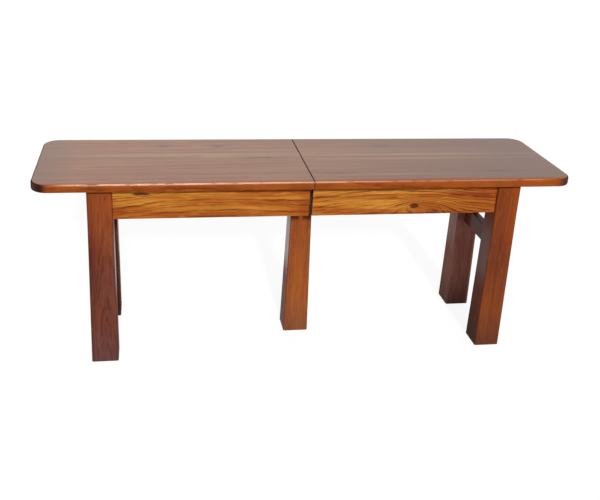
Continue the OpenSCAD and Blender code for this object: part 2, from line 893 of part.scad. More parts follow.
module lock_keeper_back() {
    color(brass) {
        difference() {
            lock_face(-lock_plate_x - lock_keeper_l) lock_plate(lock_keeper_l);
            lock_keeper_screws() flat_screw_hole(small_screw_d, lock_screw_l);
        }
        lock_face(-lock_stud_x) lock_post(lock_stud_d);
    }
}

module lock_keeper_front() { turned() lock_keeper_back(); }

module lock_plate_screws() {
    for (s = [-1, 1]) lock_face(lock_pivot_x + s * (lock_plate_l / 2 - lock_screw_edge))
        translate([0, 0, lock_plate_t]) children();
}

module lock_keeper_screws() {
    for (s = [-1, 1]) lock_face(-lock_plate_x - lock_keeper_l + lock_screw_edge)
        translate([0, s * (lock_plate_h / 2 - lock_screw_edge), lock_plate_t]) children();
}

module lock_screws_right() {
    color(brass) {
        lock_plate_screws() flat_screw(small_screw_d, lock_screw_l);
        turned() lock_keeper_screws() flat_screw(small_screw_d, lock_screw_l);
    }
}

module lock_screws_left() { turned() lock_screws_right(); }

// Wedge of a circle from angle a0 to a1
module wedge(a0, a1) {
    r = 2 * lock_r;
    polygon([[0, 0], r * [cos(a0), sin(a0)], r * [cos((a0 + a1) / 2), sin((a0 + a1) / 2)],
        r * [cos(a1), sin(a1)]]);
}

// Hook as it hangs at rest: a fan below the pivot, its slot open on the side that leads
module hook_shape() {
    down = 270;
    difference() {
        union() {
            circle(lock_pivot_d / 2 + lock_hub);
            intersection() {
                circle(lock_r + lock_slot + lock_jaw);
                wedge(down - lock_lead, down + lock_trail);
            }
        }
        circle(lock_pivot_d / 2 + lock_pivot_fit);
        intersection() {
            difference() {
                circle(lock_r + lock_slot);
                circle(lock_r - lock_slot);
            }
            wedge(down - 2 * lock_lead, down);
        }
        translate([0, -lock_r]) circle(lock_slot);
    }
}

module lock_hook_back() {
    color(brass) lock_face(lock_pivot_x) translate([0, 0, lock_plate_t + lock_gap]) {
        linear_extrude(lock_hook_t) hook_shape();
        rotate([0, 0, lock_trail - 90]) translate([lock_r - lock_slot, -lock_tab_t, 0])
            cube([2 * lock_slot + lock_jaw - lock_edge, lock_tab_t, lock_hook_t + lock_tab_l]);
    }
}

module lock_hook_front() { turned() lock_hook_back(); }

centre_leg();
centre_block();
slide_centre_front();
slide_centre_back();
centre_block_screws();
centre_leg_lags();
pinion_post();
pinion_clip();
pinion();
top_left();
apron_front_left();
apron_back_left();
apron_end_left();
leg_front_left();
leg_back_left();
end_rail_left();
corner_block_front_left();
corner_block_back_left();
hanger_bolts_left();
hanger_washers_left();
hanger_nuts_left();
corner_screws_left();
apron_screws_left();
slide_left_front();
slide_left_back();
slide_screws_left();
stop_pins_left();
rack_left();
rack_screws_left();
seam_pins();
lock_plate_front();
lock_keeper_back();
lock_screws_left();
top_right();
apron_front_right();
apron_back_right();
apron_end_right();
leg_front_right();
leg_back_right();
end_rail_right();
corner_block_front_right();
corner_block_back_right();
hanger_bolts_right();
hanger_washers_right();
hanger_nuts_right();
corner_screws_right();
apron_screws_right();
slide_right_front();
slide_right_back();
slide_screws_right();
stop_pins_right();
rack_right();
rack_screws_right();
lock_plate_back();
lock_keeper_front();
lock_screws_right();
lock_hook_front();
lock_hook_back();
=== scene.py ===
from math import atan2, cos, degrees, pi, radians, sin, sqrt

import bmesh
import bpy
from mathutils import Matrix, Vector


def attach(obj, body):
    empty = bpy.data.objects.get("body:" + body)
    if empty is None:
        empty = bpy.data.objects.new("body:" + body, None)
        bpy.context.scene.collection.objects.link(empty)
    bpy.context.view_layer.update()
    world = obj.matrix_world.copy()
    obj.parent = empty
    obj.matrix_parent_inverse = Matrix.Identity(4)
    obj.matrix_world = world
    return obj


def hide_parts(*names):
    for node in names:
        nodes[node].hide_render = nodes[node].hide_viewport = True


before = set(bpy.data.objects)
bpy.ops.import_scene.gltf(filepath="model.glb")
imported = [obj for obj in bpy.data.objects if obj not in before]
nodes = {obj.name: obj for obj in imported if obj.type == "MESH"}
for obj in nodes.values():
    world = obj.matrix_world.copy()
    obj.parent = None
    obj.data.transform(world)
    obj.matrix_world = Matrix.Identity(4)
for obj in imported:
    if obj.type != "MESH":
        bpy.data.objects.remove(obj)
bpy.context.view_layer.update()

# Seat boards
# Each half of the seat is a panel of four oak strips glued edge to edge, stained brown and varnished.
# The strips run the length of the bench, so the figure carries over the seam from half to half.


class Term:
    """One socket of a node tree. An expression on terms adds the Math nodes that it needs."""

    def __init__(self, tree, socket):
        self.tree = tree
        self.socket = socket

    def math(self, operation, *values):
        node = self.tree.nodes.new("ShaderNodeMath")
        node.operation = operation
        for socket, value in zip(node.inputs, values):
            put(self.tree, socket, value)
        return Term(self.tree, node.outputs[0])

    def __add__(self, other):
        return self.math("ADD", self, other)

    def __radd__(self, other):
        return self.math("ADD", other, self)

    def __sub__(self, other):
        return self.math("SUBTRACT", self, other)

    def __rsub__(self, other):
        return self.math("SUBTRACT", other, self)

    def __mul__(self, other):
        return self.math("MULTIPLY", self, other)

    def __rmul__(self, other):
        return self.math("MULTIPLY", other, self)

    def __truediv__(self, other):
        return self.math("DIVIDE", self, other)

    def __rtruediv__(self, other):
        return self.math("DIVIDE", other, self)

    def __abs__(self):
        return self.math("ABSOLUTE", self)

    def squared(self):
        return self.math("MULTIPLY", self, self)

    def root(self):
        return self.math("SQRT", self)

    def floor(self):
        return self.math("FLOOR", self)

    def fraction(self):
        return self.math("FRACT", self)

    def at_least(self, other):
        return self.math("MAXIMUM", self, other)

    def clamped(self):
        return self.math("MINIMUM", self.at_least(0.0), 1.0)

    def between(self, low, high, out_low=0.0, out_high=1.0):
        """Smoothly from out_low where the term is at low to out_high where it is at high."""
        node = self.tree.nodes.new("ShaderNodeMapRange")
        node.interpolation_type = "SMOOTHSTEP"
        for name, value in (("From Min", low), ("From Max", high), ("To Min", out_low), ("To Max", out_high)):
            node.inputs[name].default_value = value
        put(self.tree, node.inputs["Value"], self)
        return Term(self.tree, node.outputs["Result"])


def put(tree, socket, value):
    """Links a term to a socket, or sets the socket to a plain value."""
    if isinstance(value, Term):
        tree.links.new(value.socket, socket)
    else:
        socket.default_value = value


class Finish:
    """A new material with its shader, and the nodes that feed it."""

    def __init__(self, name, **constants):
        self.material = bpy.data.materials.new(name)
        self.material.use_nodes = True
        self.tree = self.material.node_tree
        self.shader = self.tree.nodes["Principled BSDF"]
        for socket, value in constants.items():
            self.shader.inputs[socket.replace("_", " ")].default_value = value

    def node(self, kind, settings=None, output=0, **inputs):
        made = self.tree.nodes.new("ShaderNode" + kind)
        for name, value in (settings or {}).items():
            setattr(made, name, value)
        for name, value in inputs.items():
            put(self.tree, made.inputs[name.replace("_", " ")], value)
        return Term(self.tree, made.outputs[output])

    def parts(self, source):
        """X, Y and Z of the Object or the Normal coordinates."""
        coordinates = self.tree.nodes.new("ShaderNodeTexCoord")
        split = self.tree.nodes.new("ShaderNodeSeparateXYZ")
        self.tree.links.new(coordinates.outputs[source], split.inputs[0])
        return [Term(self.tree, socket) for socket in split.outputs]

    def point(self, x, y, z):
        return self.node("CombineXYZ", X=x, Y=y, Z=z)

    def noise(self, point, detail=2.0, roughness=0.5, scale=1.0):
        return self.node("TexNoise", Vector=point, Scale=scale, Detail=detail, Roughness=roughness)

    def blend(self, amount, first, second, mode="MIX"):
        """Colour from first to second. A Mix node's colours are its inputs 6 and 7 and its output 2."""
        made = self.tree.nodes.new("ShaderNodeMix")
        made.data_type = "RGBA"
        made.blend_type = mode
        put(self.tree, made.inputs[0], amount)
        put(self.tree, made.inputs[6], first if isinstance(first, Term) else (*first, 1.0))
        put(self.tree, made.inputs[7], second if isinstance(second, Term) else (*second, 1.0))
        return Term(self.tree, made.outputs[2])

    def feed(self, **sockets):
        for name, value in sockets.items():
            put(self.tree, self.shader.inputs[name.replace("_", " ")], value)
        return self.material


def rgb(code):
    """Linear colour from a web colour code."""
    parts = [int(code[i:i + 2], 16) / 255 for i in (1, 3, 5)]
    return [p / 12.92 if p <= 0.04045 else ((p + 0.055) / 1.055) ** 2.4 for p in parts]


def lens(along, across, spot):
    """A soft spot on the face of a board: its place along and across, its length and width, its height."""
    at_along, at_across, length, width, height = spot
    distance = ((along - at_along) / length).squared() + ((across - at_across) / width).squared()
    return height / (1.0 + distance)


class Timber(Finish):
    """Wood with growth rings about a pith line that runs, a little askew, with the grain.

    grain and across are the axes along the board and over its show face. pith is where the pith line
    crosses the middle of the bench, over the face and into it, and lean how far it drifts per metre. ring
    is the width of a growth ring, wave how wavy the rings are, and knots are lenses that bend them. strips
    is the width of the strips of a glued panel, or 0 for a single board. bands is how many waves of tone
    there are to a metre over the face.
    """

    def __init__(self, name, grain, across, pith, lean, ring, seed, wave=1.0, knots=(), strips=0.0,
                 bands=17.0, **constants):
        super().__init__(name, **constants)
        axes = self.parts("Object")
        self.normal = self.parts("Normal")
        along, over, deep = axes[grain], axes[across], axes[3 - grain - across]
        self.along, self.across = along, over
        self.end_grain = abs(self.normal[grain]).between(0.06, 0.40)
        if strips:
            self.strip = (over / strips).floor()
            shift = self.node("TexWhiteNoise", {"noise_dimensions": "1D"}, W=self.strip + seed)
            over = over + shift * strips * 2.0
            along = along + shift * 0.7
        self.place = along, over, deep

        # The rings are circles about the pith line, swayed in long, middling and short waves.
        off_across = over - along * lean[0] - pith[0]
        off_deep = deep - along * lean[1] - pith[1]
        radius = (off_across.squared() + off_deep.squared()).root()
        slow = self.streaks(2.4, 6.0, (seed, 0.0, 0.0), detail=1.0)
        middling = self.streaks(19.0, 40.0, (-seed, 0.0, 0.0))
        quick = self.streaks(75.0, 300.0, (seed, 0.0, 0.0), detail=1.0)
        sway = (slow - 0.5) * 0.018 + (middling - 0.5) * 0.0085 + (quick - 0.5) * 0.0014
        radius = radius + sway * wave
        for knot in knots:
            radius = radius + lens(self.along, self.across, knot)
        rings = radius / ring
        uneven = self.node("TexNoise", {"noise_dimensions": "1D"}, W=rings * 0.45 + seed * 3.0, Scale=1.0)
        phase = (rings + (uneven - 0.5) * 2.0).fraction()

        # In each ring open early wood comes first, broken up along the grain, and then dense late wood.
        broken = self.streaks(16.0, 90.0, (0.0, 0.0, seed), roughness=0.6)
        ridge = phase.between(0.0, 0.12) - phase.between(0.20, 0.52)
        self.early = ridge * broken.between(0.28, 0.62, 0.35, 1.0)
        self.late = phase.between(0.45, 1.0)
        self.fibre = self.streaks(7.0, 330.0, (0.0, seed, 0.0), detail=3.0, roughness=0.6)
        pores = self.streaks(60.0, 1500.0, (0.0, 0.0, seed), roughness=0.6)
        self.pores = pores.between(0.58, 0.70) * (0.25 + self.early * 0.75)
        self.tone = self.streaks(3.1, bands, (5.0, seed, 0.0))
        self.fleck = self.streaks(26.0, 210.0, (seed, 0.0, 0.0), detail=1.0).between(0.56, 0.72)
        square = abs(self.normal[0]).at_least(abs(self.normal[1])).at_least(abs(self.normal[2]))
        self.edge = square.between(0.75, 0.97, 1.0, 0.0)

    def streaks(self, along, over, shifts, detail=2.0, roughness=0.5):
        """Noise drawn out with the grain, of so many waves a metre along the board and over it."""
        axes = zip(self.place, (along, over, over), shifts)
        x, y, z = (axis * waves + shift if shift else axis * waves for axis, waves, shift in axes)
        return self.noise(self.point(x, y, z), detail, roughness)

    def spots(self, places):
        """The soft spots at some places on the face, added up."""
        return sum(lens(self.along, self.across, place) for place in places)

    def stained(self, light, middle, line, strength, fibres=0.5, end=0.45, edge=0.35):
        """The stain's colour: light and middle in patches, line where the open early wood soaked it up.

        strength is how strong the lines are, fibres how strong the fibres, end and edge how much darker
        the sawn ends and the rounded edges are.
        """
        colour = self.blend(self.tone.between(0.32, 0.68), light, middle)
        colour = self.blend(self.late * 0.25, colour, middle)
        drawn = (self.early * strength + (self.fibre - 0.5) * fibres).clamped()
        colour = self.blend(drawn, colour, line)
        lift = (0.5 - self.fibre).between(0.0, 0.25)
        colour = self.blend(lift * fibres * 0.35, colour, [min(1.0, v * 1.5) for v in light])
        colour = self.blend(self.fleck * fibres * 0.6, colour, [min(1.0, v * 1.2) for v in light])
        colour = self.blend(self.pores * 0.6, colour, [v * 0.4 for v in line])
        colour = self.blend(self.edge * edge, colour, [v * 0.5 for v in line])
        return self.blend(self.end_grain * end, colour, [v * 0.35 for v in line])

    def surface(self, rough):
        """Roughness of the satin varnish and the fine relief of the open pores under it."""
        relief = self.node("Bump", Strength=0.15, Distance=0.0003, Height=1.0 - self.pores - self.early * 0.3)
        return {"Roughness": rough + (self.fibre - 0.5) * 0.08 + self.pores * 0.2, "Normal": relief}


def dress(names, material):
    """Gives CAD nodes a new material in place of their plain one."""
    for name in names:
        nodes[name].data.materials.clear()
        nodes[name].data.materials.append(material)


strip_width = 0.0805
seat = Timber("seat_oak", 0, 1, (0.02, 0.40), (0.02, 0.03), 0.012, 3.0, wave=0.9, strips=strip_width,
              Specular_IOR_Level=0.0, Coat_IOR=1.7, Coat_Roughness=0.25)
endward, upward = abs(seat.normal[0]), seat.normal[2]

# The top is darker to the right and greyer at the far left, with a thin glue line between the strips.
# Its front border, where hands take hold, is redder.
top_light, top_middle, top_line = rgb("#b37854"), rgb("#a16746"), rgb("#6d3d24")
top_deep, top_grey, top_handled = rgb("#724526"), rgb("#6d5a4e"), rgb("#b4642e")
top_pale, top_smudge = rgb("#bd8f62"), rgb("#47292b")
pale_streaks = [
    (-0.27, 0.032, 0.27, 0.013, 0.75), (-0.22, 0.026, 0.06, 0.014, 0.6), (0.27, 0.028, 0.22, 0.0035, 0.8),
    (0.26, -0.002, 0.20, 0.004, 0.6), (0.20, -0.114, 0.10, 0.004, 0.5), (-0.10, 0.068, 0.10, 0.003, 0.4)]
dark_streaks = [
    (-0.33, 0.104, 0.016, 0.008, 0.8), (-0.197, 0.100, 0.014, 0.007, 0.9), (0.218, 0.097, 0.014, 0.007, 0.9),
    (-0.097, 0.010, 0.03, 0.004, 0.8), (-0.36, 0.010, 0.09, 0.0025, 0.8), (-0.42, 0.053, 0.06, 0.0025, 0.6),
    (-0.18, 0.052, 0.06, 0.0025, 0.7), (0.46, -0.100, 0.05, 0.006, 0.7), (-0.18, -0.100, 0.16, 0.004, 0.5),
    (0.07, -0.104, 0.03, 0.005, 0.6), (0.25, 0.014, 0.18, 0.003, 0.5), (0.56, 0.05, 0.10, 0.10, 0.5)]
colour = seat.stained(top_light, top_middle, top_line, 0.55, fibres=0.4, end=0.0, edge=0.0)
colour = seat.blend(seat.along.between(-0.30, 0.50, 0.0, 0.85), colour, top_deep)
tint = seat.node("TexWhiteNoise", {"noise_dimensions": "1D"}, W=seat.strip * 3.7 + 0.5)
colour = seat.blend(tint.between(0.0, 1.0, 0.0, 0.3), colour, top_middle)
pale = seat.spots(pale_streaks).clamped() * (1.0 - seat.early * 0.6)
colour = seat.blend(pale, colour, top_pale)
colour = seat.blend(seat.spots(dark_streaks).clamped() * 0.8, colour, top_smudge)
colour = seat.blend(seat.along.between(-0.61, -0.50, 0.45, 0.0), colour, top_grey)
glue = (seat.across / strip_width).fraction()
colour = seat.blend(glue.between(0.0, 0.012, 1.0, 0.0) * 0.35, colour, top_line)
handled = seat.across.between(-0.160, -0.137, 1.0, 0.0) * seat.along.between(-0.35, 0.25, 0.45, 1.0)
colour = seat.blend(handled * 0.75, colour, top_handled)

# The routed edge is redder, and darker to the right of the seam and by the corners, where the darkening is
# painted shade. The upper part of its round has a painted highlight, a pale line that is stronger to the
# left.
edge_light, edge_middle, edge_line = rgb("#ab5a24"), rgb("#a04e1e"), rgb("#5e2310")
edge_dark, painted_highlight_colour, edge_turned = rgb("#85391b"), rgb("#fcc39c"), rgb("#6b3419")
edge_colour = seat.stained(edge_light, edge_middle, edge_line, 0.6, fibres=0.6, end=0.0, edge=0.0)
soaked = seat.noise(seat.point(seat.along * 9.0, seat.across * 9.0, 2.0), detail=2.0).between(0.52, 0.66)
edge_colour = seat.blend(soaked * 0.25, edge_colour, edge_line)
right_of_seam = seat.along.between(0.0, 0.004) * seat.along.between(0.012, 0.06, 0.5, 0.0)
# Painted shade: the edge is painted darker over its last few centimetres by each corner.
painted_shade_by_corners = abs(seat.along).between(0.53, 0.60, 0.0, 0.5)
edge_colour = seat.blend(painted_shade_by_corners + right_of_seam, edge_colour, edge_dark)
# Painted highlight: a pale line on the upper round of the edge, stronger to the left and fading by the
# corners.
painted_highlight_mask = seat.noise(seat.point(seat.along * 30.0, seat.across * 30.0, 4.0), detail=2.0).between(0.28, 0.52)
painted_highlight_mask = painted_highlight_mask * (upward.between(0.45, 0.66) - upward.between(0.90, 0.985))
off_corners = abs(seat.along).between(0.52, 0.59, 1.0, 0.0)
painted_highlight_mask = painted_highlight_mask * seat.along.between(-0.10, 0.30, 1.0, 0.35) * off_corners
edge_colour = seat.blend(painted_highlight_mask * 0.9, edge_colour, painted_highlight_colour)
edge_colour = seat.blend(endward.between(0.0, 0.2) * 0.6, edge_colour, edge_turned)

# Sawn end grain is dark and its rings are darker. Where the edge starts to turn to the left it is painted
# darkest, as painted shade.
painted_shade_end_left, end_right, end_square, end_ring = rgb("#2c231e"), rgb("#563d31"), rgb("#694a38"), rgb("#2c1a13")
# Faces turned to the left are painted darker than those turned to the right: painted shade.
sawn_end = seat.blend(seat.normal[0].between(-0.1, 0.1), painted_shade_end_left, end_right)
sawn_end = seat.blend(endward.between(0.5, 1.0), sawn_end, end_square)
sawn_end = seat.blend(seat.early * 0.5, sawn_end, end_ring)
edge_colour = seat.blend(seat.end_grain * 0.95, edge_colour, sawn_end)
routed = upward.between(0.80, 0.985, 1.0, 0.0)
colour = seat.blend(routed, colour, edge_colour)
seam_brown = rgb("#3c1d1a")
seam = abs(seat.along).between(0.0009, 0.0018, 1.0, 0.0) * endward.between(0.8, 0.95, 1.0, 0.0)
colour = seat.blend(seam * 0.7, colour, seam_brown)

# The varnish shines most on the round of the edge, less on the top, little at the ends and corners and
# not on upright faces or below. It is partly worn off where hands rub.
film = upward.between(0.04, 0.35) - upward.between(0.75, 0.97, 0.0, 0.26)
hand_worn = upward.between(0.90, 0.985).at_least(seat.along.between(-0.10, 0.25))
film = film * endward.between(0.08, 0.40, 1.0, 0.2) * (1.0 - handled * hand_worn * 0.7)
film = film * (1.0 - (1.0 - off_corners) * routed * 0.8)
seat.feed(Base_Color=colour, Coat_Weight=film, **seat.surface(0.4))
dress(["top_left", "top_right"], seat.material)

# Aprons
# Flat-sawn oak boards 20 mm thick, set back from the faces of the legs and stained amber.
# Their dark early wood draws bold wavy lines, with a knot in each of the front two.

amber, orange, early_line = rgb("#e2a03e"), rgb("#b5601f"), rgb("#74320b")
red_tint, eye_brown = rgb("#c59382"), rgb("#52200f")
# For each board: the axis of its grain, pith, lean, ring width, seed and wave, then three lists of soft
# spots: the knots that bend the rings, the dark eyes of the knots, and the redder patches.
apron_boards = {
    "apron_front_left": (
        0, (0.27, 0.02), (0.022, 0.05), 0.0062, 1.0, 0.9,
        [(-0.50, 0.40, 0.11, 1.0, 0.024), (-0.38, 0.423, 0.024, 0.007, 0.012)],
        [(-0.386, 0.4215, 0.020, 0.0035, 1.0)],
        [(-0.45, 0.375, 0.05, 0.03, 0.8), (-0.18, 0.376, 0.20, 0.013, 0.8), (-0.01, 0.40, 0.02, 0.1, 0.8)]),
    "apron_front_right": (
        0, (0.26, 0.02), (0.0, 0.05), 0.0066, 2.0, 1.1,
        [(-0.03, 0.40, 0.13, 1.0, 0.030), (0.245, 0.382, 0.065, 0.020, -0.020),
         (0.246, 0.384, 0.018, 0.009, -0.016), (0.300, 0.372, 0.035, 0.020, -0.022),
         (0.40, 0.435, 0.13, 0.045, 0.030)],
        [(0.246, 0.3835, 0.0115, 0.0070, 1.0)],
        [(0.46, 0.39, 0.13, 0.2, 0.9), (0.468, 0.39, 0.02, 0.2, 0.5), (0.28, 0.376, 0.03, 0.012, 0.9),
         (0.10, 0.358, 0.30, 0.012, 0.5)]),
    "apron_back_left": (
        0, (0.30, 0.05), (0.03, 0.0), 0.0070, 4.0, 1.0, [(-0.2, 0.40, 0.06, 0.02, -0.02)], [], []),
    "apron_back_right": (
        0, (0.50, 0.15), (0.03, 0.0), 0.0070, 5.0, 1.0, [(0.33, 0.40, 0.05, 0.02, 0.02)], [], []),
    "apron_end_left": (1, (0.30, -0.40), (0.1, 0.0), 0.0065, 6.0, 1.0, [], [], []),
    "apron_end_right": (1, (0.31, 0.40), (-0.1, 0.0), 0.0070, 7.0, 1.0, [], [], []),
}
# The dark lines are fainter round these spots.
calm_spots = {
    "apron_front_left": [(-0.25, 0.371, 0.60, 0.011, 0.4), (-0.18, 0.412, 0.20, 0.010, 0.6)],
    "apron_front_right": [(0.08, 0.385, 0.09, 0.040, 0.45)],
}
for name, (grain, pith, lean, ring, seed, wave, knots, eyes, reds) in apron_boards.items():
    board = Timber(name + "_oak", grain, 2, pith, lean, ring, seed, wave=wave, knots=knots, bands=60.0,
                   Specular_IOR_Level=0.0, Coat_IOR=1.25, Coat_Weight=0.6, Coat_Roughness=0.22)
    calm = board.spots(calm_spots.get(name, []))
    stain = board.stained(amber, orange, early_line, 1.0 - calm, fibres=0.7, end=0.9)
    patches = board.noise(board.point(board.along * 4.0 + seed, board.across * 12.0, 0.5), detail=1.0)
    red = patches.between(0.50, 0.72) * 0.3 + board.spots(reds)
    stain = board.blend(red.clamped() * 0.85, stain, red_tint, mode="MULTIPLY")
    if eyes:
        ragged = board.noise(board.point(board.along * 90.0, board.across * 160.0, seed), detail=2.0)
        dark = board.spots(eyes) + (ragged - 0.5) * 0.7
        stain = board.blend(dark.between(0.40, 0.70) * 0.9, stain, eye_brown)
    dress([name], board.feed(Base_Color=stain, **board.surface(0.42)))

# Legs
# Solid oak posts, square at the aprons and a little wider at the floor, stained darker and redder.
# The front left one shows pointed arches low down, where its face cuts the rings at a slant.

# For each leg: pith, lean, ring width, seed, wave, strength of the dark lines and gloss, then its colours:
# light, middle and line, and the light one as it is low on the leg and at the foot.
leg_boards = {
    "leg_front_left": ((-0.468, -0.108), (0.02, 0.055), 0.0030, 11.0, 0.75, 0.42, 0.6,
                       "#9e5028", "#834126", "#572819", "#794333", "#754c43"),
    "leg_front_right": ((0.455, -0.060), (0.0, 0.02), 0.0060, 12.0, 0.5, 0.2, 0.5,
                        "#9f4c1d", "#824021", "#572619", "#884523", "#723e27"),
    "leg_back_left": ((-0.50, 0.15), (0.05, 0.02), 0.0060, 13.0, 0.6, 0.4, 0.6,
                      "#8b4a30", "#7a3b25", "#4a221a", "#7a4530", "#6c4433"),
    # The back right leg's colours hold painted light and shade: paler overall to make up for the front leg's
    # shadow over it, and darker at the top than lower down.
    "leg_back_right": ((0.44, 0.16), (0.02, 0.05), 0.0060, 14.0, 0.6, 0.35, 0.45,
                       "#a3675a", "#975e50", "#6d4037", "#b47c6e", "#865b51"),
    "centre_leg": ((0.030, 0.060), (0.0, 0.01), 0.0060, 15.0, 0.5, 0.22, 0.85,
                   "#aa5e26", "#8f4a27", "#5f2c18", "#a65c29", "#905535"),
}
# A darker streak runs up the outer edge of two legs. On the back right leg it is painted shade.
edge_streaks_and_painted_shade = {
    "leg_front_left": [(0.20, -0.505, 0.16, 0.012, 0.45)],
    "leg_back_right": [(0.20, 0.500, 0.40, 0.011, 0.5)],
}
clouded_red = rgb("#d98f7e")
for name, (pith, lean, ring, seed, wave, strength, gloss, *tones) in leg_boards.items():
    light, middle, line, low, foot = [rgb(tone) for tone in tones]
    board = Timber(name + "_oak", 2, 0, pith, lean, ring, seed, wave=wave,
                   Specular_IOR_Level=0.0, Coat_IOR=1.32, Coat_Roughness=0.2)
    stain = board.stained(light, middle, line, strength, fibres=0.9, edge=0.7)
    for bottom, top, above, below in ((0.20, 0.41, light, low), (0.0, 0.13, low, foot)):
        change = [new / old for old, new in zip(above, below)]
        stain = board.blend(board.along.between(bottom, top, 1.0, 0.0), stain, change, mode="MULTIPLY")
    # The streak is painted shade on the back right leg.
    if name in edge_streaks_and_painted_shade:
        stain = board.blend(board.spots(edge_streaks_and_painted_shade[name]), stain, line)
    clouded = board.noise(board.point(board.along * 5.0, board.across * 14.0 + seed, 1.0), detail=1.0)
    stain = board.blend(clouded.between(0.45, 0.70) * 0.25, stain, clouded_red, mode="MULTIPLY")
    shine = board.along.between(0.14, 0.22, 0.25, 1.0) - board.along.between(0.28, 0.36, 0.0, 0.7)
    shine = shine * abs(board.normal[0]).between(0.4, 0.8, 0.15, 1.0) * gloss
    dress([name], board.feed(Base_Color=stain, Coat_Weight=shine, **board.surface(0.4)))

# End rails
# A low oak rail is tenoned between the two legs of each end, its grain running across the bench. It is
# stained dark brown, with a thin varnish.

for name, pith, seed in (("end_rail_left", (0.20, -0.43), 21.0), ("end_rail_right", (0.21, 0.53), 22.0)):
    board = Timber(name + "_oak", 1, 2, pith, (0.05, 0.05), 0.0070, seed, wave=0.6,
                   Specular_IOR_Level=0.0, Coat_IOR=1.3, Coat_Weight=0.4, Coat_Roughness=0.2)
    stain = board.stained(rgb("#7a4430"), rgb("#69382a"), rgb("#45221b"), 0.3, fibres=0.5)
    dress([name], board.feed(Base_Color=stain, **board.surface(0.4)))

# Slides, blocks and pins
# The rails that draw the bench out, the block over the centre leg, the corner blocks and the seam pins
# are plain birch, planed and only oiled, so that the dovetails run freely.


def birch(name, grain, seed, light, middle, line):
    wood = Timber(name, grain, 2, (0.2, 0.3), (0.02, 0.02), 0.006, seed, wave=0.5)
    stain = wood.stained(rgb(light), rgb(middle), rgb(line), 0.25, fibres=0.35, end=0.25)
    return wood.feed(Base_Color=stain, **wood.surface(0.52))


rails = birch("rail_birch", 0, 31.0, "#b98f5e", "#a87c4c", "#7d5630")
dress([name for name in nodes if name.startswith("slide_") and "screws" not in name], rails)
dress(["centre_block", "seam_pins"], birch("block_birch", 0, 32.0, "#b58a58", "#a17546", "#75502c"))
dress([name for name in nodes if name.startswith("corner_block")],
      birch("corner_birch", 1, 33.0, "#b98d5a", "#a67a4a", "#7a532e"))

# Steel
# The washers, nuts, stop pins and racks, and the pinion with its post and clip, are zinc-plated steel. The
# screws, lag screws and hanger bolts of the next sections have the same finish.

steel = Finish("zinc_plate", Metallic=1.0)
x, y, z = steel.parts("Object")
cloud = steel.noise(steel.point(x * 60.0, y * 60.0, z * 60.0), detail=3.0)
grit = steel.noise(steel.point(x * 900.0, y * 900.0, z * 900.0), detail=2.0)
zinc = steel.blend(cloud.between(0.3, 0.7), rgb("#b9bcc0"), rgb("#9b9fa2"))
zinc = steel.blend(grit.between(0.62, 0.75) * 0.4, zinc, rgb("#6d6f70"))
steel.feed(Base_Color=zinc, Roughness=0.30 + cloud * 0.2,
           Normal=steel.node("Bump", Strength=0.1, Distance=0.0001, Height=grit))
steel_words = ("washers", "nuts", "stop_pins", "rack_left", "rack_right", "pinion")
dress([name for name in nodes if any(word in name for word in steel_words)], steel.material)

# Pan-head screws
# They hold the slides to the seat, the aprons to the seat from slanted pockets, and the corner blocks to
# the aprons. Each is headed from steel wire with a cross recess, its thread rolled, then zinc plated.


def lathe(sheet, outline, steps=24):
    """Turns an outline of (radius, height) points about the Z axis."""
    corners = [sheet.verts.new((radius, 0.0, height)) for radius, height in outline]
    edges = [sheet.edges.new(pair) for pair in zip(corners, corners[1:])]
    bmesh.ops.spin(sheet, geom=corners + edges, axis=(0, 0, 1), angle=2 * pi, steps=steps, use_merge=True)
    bmesh.ops.remove_doubles(sheet, verts=sheet.verts, dist=1e-7)


def wind_thread(sheet, core, crest, low, high, pitch, steps=16):
    """Winds a sharp right-hand ridge round a core, from the height low up to high."""
    corners = [sheet.verts.new((radius, 0.0, low + rise * pitch))
               for radius, rise in ((core * 0.9, 0.0), (crest, 0.25), (core * 0.9, 0.5))]
    ridge = sheet.faces.new(corners)
    turns = (high - low) / pitch - 0.5
    bmesh.ops.spin(sheet, geom=[ridge, *ridge.edges, *corners], axis=(0, 0, 1), angle=turns * 2 * pi,
                   dvec=(0, 0, pitch * turns / round(turns * steps)), steps=round(turns * steps))


def sharpen(sheet, start, tip):
    """Narrows a shank from the height start to a blunt point at tip."""
    for corner in sheet.verts:
        if corner.co.z < start:
            narrow = max(0.1, (corner.co.z - tip) / (start - tip))
            corner.co.xy *= narrow


def sink_recess(sheet, arm, width, depth):
    """Sinks a cross recess into the open ring at the top of a head, where the height is 0."""
    rim = [edge for edge in sheet.edges if edge.is_boundary and max(abs(v.co.z) for v in edge.verts) < 1e-7]
    for sunk, size in ((0.0, 1.0), (0.75, 0.6), (1.0, 0.0)):
        grown = bmesh.ops.extrude_edge_only(sheet, edges=rim)["geom"]
        for corner in [part for part in grown if isinstance(part, bmesh.types.BMVert)]:
            turn = atan2(corner.co.y, corner.co.x)
            along, across = max(abs(cos(turn)), 1e-6), max(abs(sin(turn)), 1e-6)
            reach = size * max(min(arm / along, width / across), min(width / along, arm / across))
            corner.co = (reach * cos(turn), reach * sin(turn), -sunk * depth)
        rim = [part for part in grown if isinstance(part, bmesh.types.BMEdge) and part.is_boundary]
    bmesh.ops.remove_doubles(sheet, verts=sheet.verts, dist=1e-7)


def finished(sheet, name, tip):
    """Flattens a threaded piece below the height tip, and makes a mesh of it."""
    for corner in sheet.verts:
        corner.co.z = max(corner.co.z, tip)
    bmesh.ops.recalc_face_normals(sheet, faces=sheet.faces)
    mesh = bpy.data.meshes.new(name)
    sheet.to_mesh(mesh)
    sheet.free()
    return mesh


